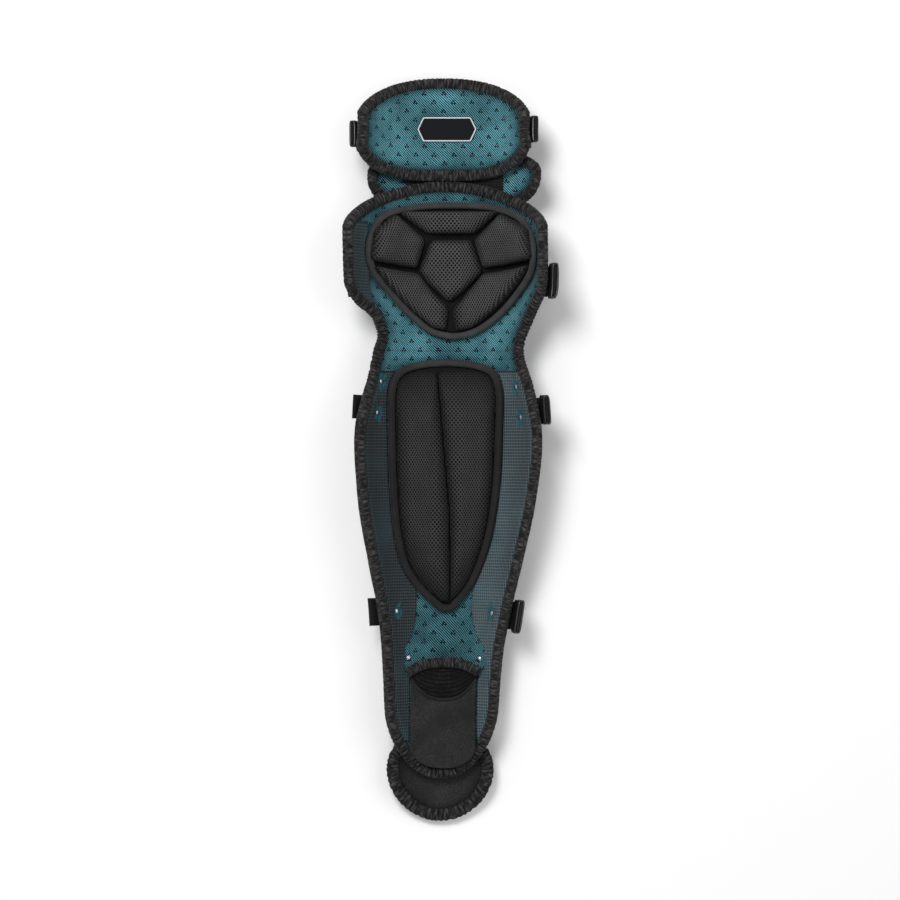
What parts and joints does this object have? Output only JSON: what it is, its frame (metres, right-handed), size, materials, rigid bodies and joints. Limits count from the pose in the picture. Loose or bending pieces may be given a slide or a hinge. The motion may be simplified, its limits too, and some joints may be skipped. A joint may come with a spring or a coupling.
{
  "type": "catcher leg guard",
  "caption": "Padded catcher's leg guard for one leg: hinged thigh, knee, shin and toe sections with a teal lining, black mesh pads, hard outer plates and straps.",
  "frame": {"origin": "middle of the bounding box in X and Y, on the surface that the guard rests on", "axes": "+Y runs up the leg from toe to thigh, +Z points from the hard plates to the leg, +X is to the right when one looks at the lining with the thigh end up"},
  "size_m": [0.1724, 0.5958, 0.0715],
  "materials": {
    "teal_lining": "woven, matte, finely perforated",
    "black_binding": "soft stretch tape, matte",
    "black_mesh": "open air mesh, matte",
    "grey_tape": "woven edge tape",
    "black_shell": "glossy moulded plate",
    "black_webbing": "ribbed elastic webbing",
    "black_plastic": "moulded, satin gloss",
    "black_cloth": "smooth synthetic cloth",
    "side_mesh": "fine dark grid mesh",
    "label_film": "plain woven patch",
    "rivet_metal": "polished head"
  },
  "bodies": {
    "root": {"thigh_liner": "teal_lining", "thigh_binding": "black_binding", "thigh_shell": "black_shell", "flap_liner": "teal_lining", "flap_binding": "black_binding", "flap_shell": "black_shell", "toe_liner": "black_cloth", "toe_binding": "black_binding", "toe_shell": "black_shell", "thigh_label": "label_film", "link_band": "black_webbing", "main_liner": "teal_lining", "main_binding": "black_binding", "knee_shell": "black_shell", "shin_shell": "black_shell", "knee_pad_base": "black_mesh", "knee_pad_tape": "grey_tape", "shin_pad_base": "black_mesh", "shin_pad_tape": "grey_tape", "shin_cushion_left": "black_mesh", "shin_cushion_right": "black_mesh", "side_mesh_left": "side_mesh", "side_mesh_right": "side_mesh", "wing_mesh_left": "side_mesh", "ankle_arch": "black_binding", "ankle_pocket": "black_cloth", "ankle_panel": "black_cloth", "ankle_lip": "grey_tape", "knee_cushion_centre": "black_mesh", "knee_cushion_top": "black_mesh", "knee_cushion_upper_left": "black_mesh", "knee_cushion_upper_right": "black_mesh", "knee_cushion_lower_left": "black_mesh", "knee_cushion_lower_right": "black_mesh", "strap_thigh": "black_webbing", "strap_knee": "black_webbing", "strap_shin": "black_webbing", "strap_ankle": "black_webbing", "slide_thigh_left": "black_plastic", "slide_thigh_right": "black_plastic", "slide_knee_right": "black_plastic", "slide_shin_right": "black_plastic", "slide_ankle_right": "black_plastic", "rivet_calf_left_upper": "rivet_metal", "rivet_calf_left_lower": "rivet_metal", "rivet_calf_right_upper": "rivet_metal", "rivet_calf_right_lower": "rivet_metal", "rivet_shin_left": "rivet_metal", "rivet_shin_right": "rivet_metal", "rivet_ankle_left": "rivet_metal", "rivet_ankle_right": "rivet_metal"}
  },
  "joints": []
}
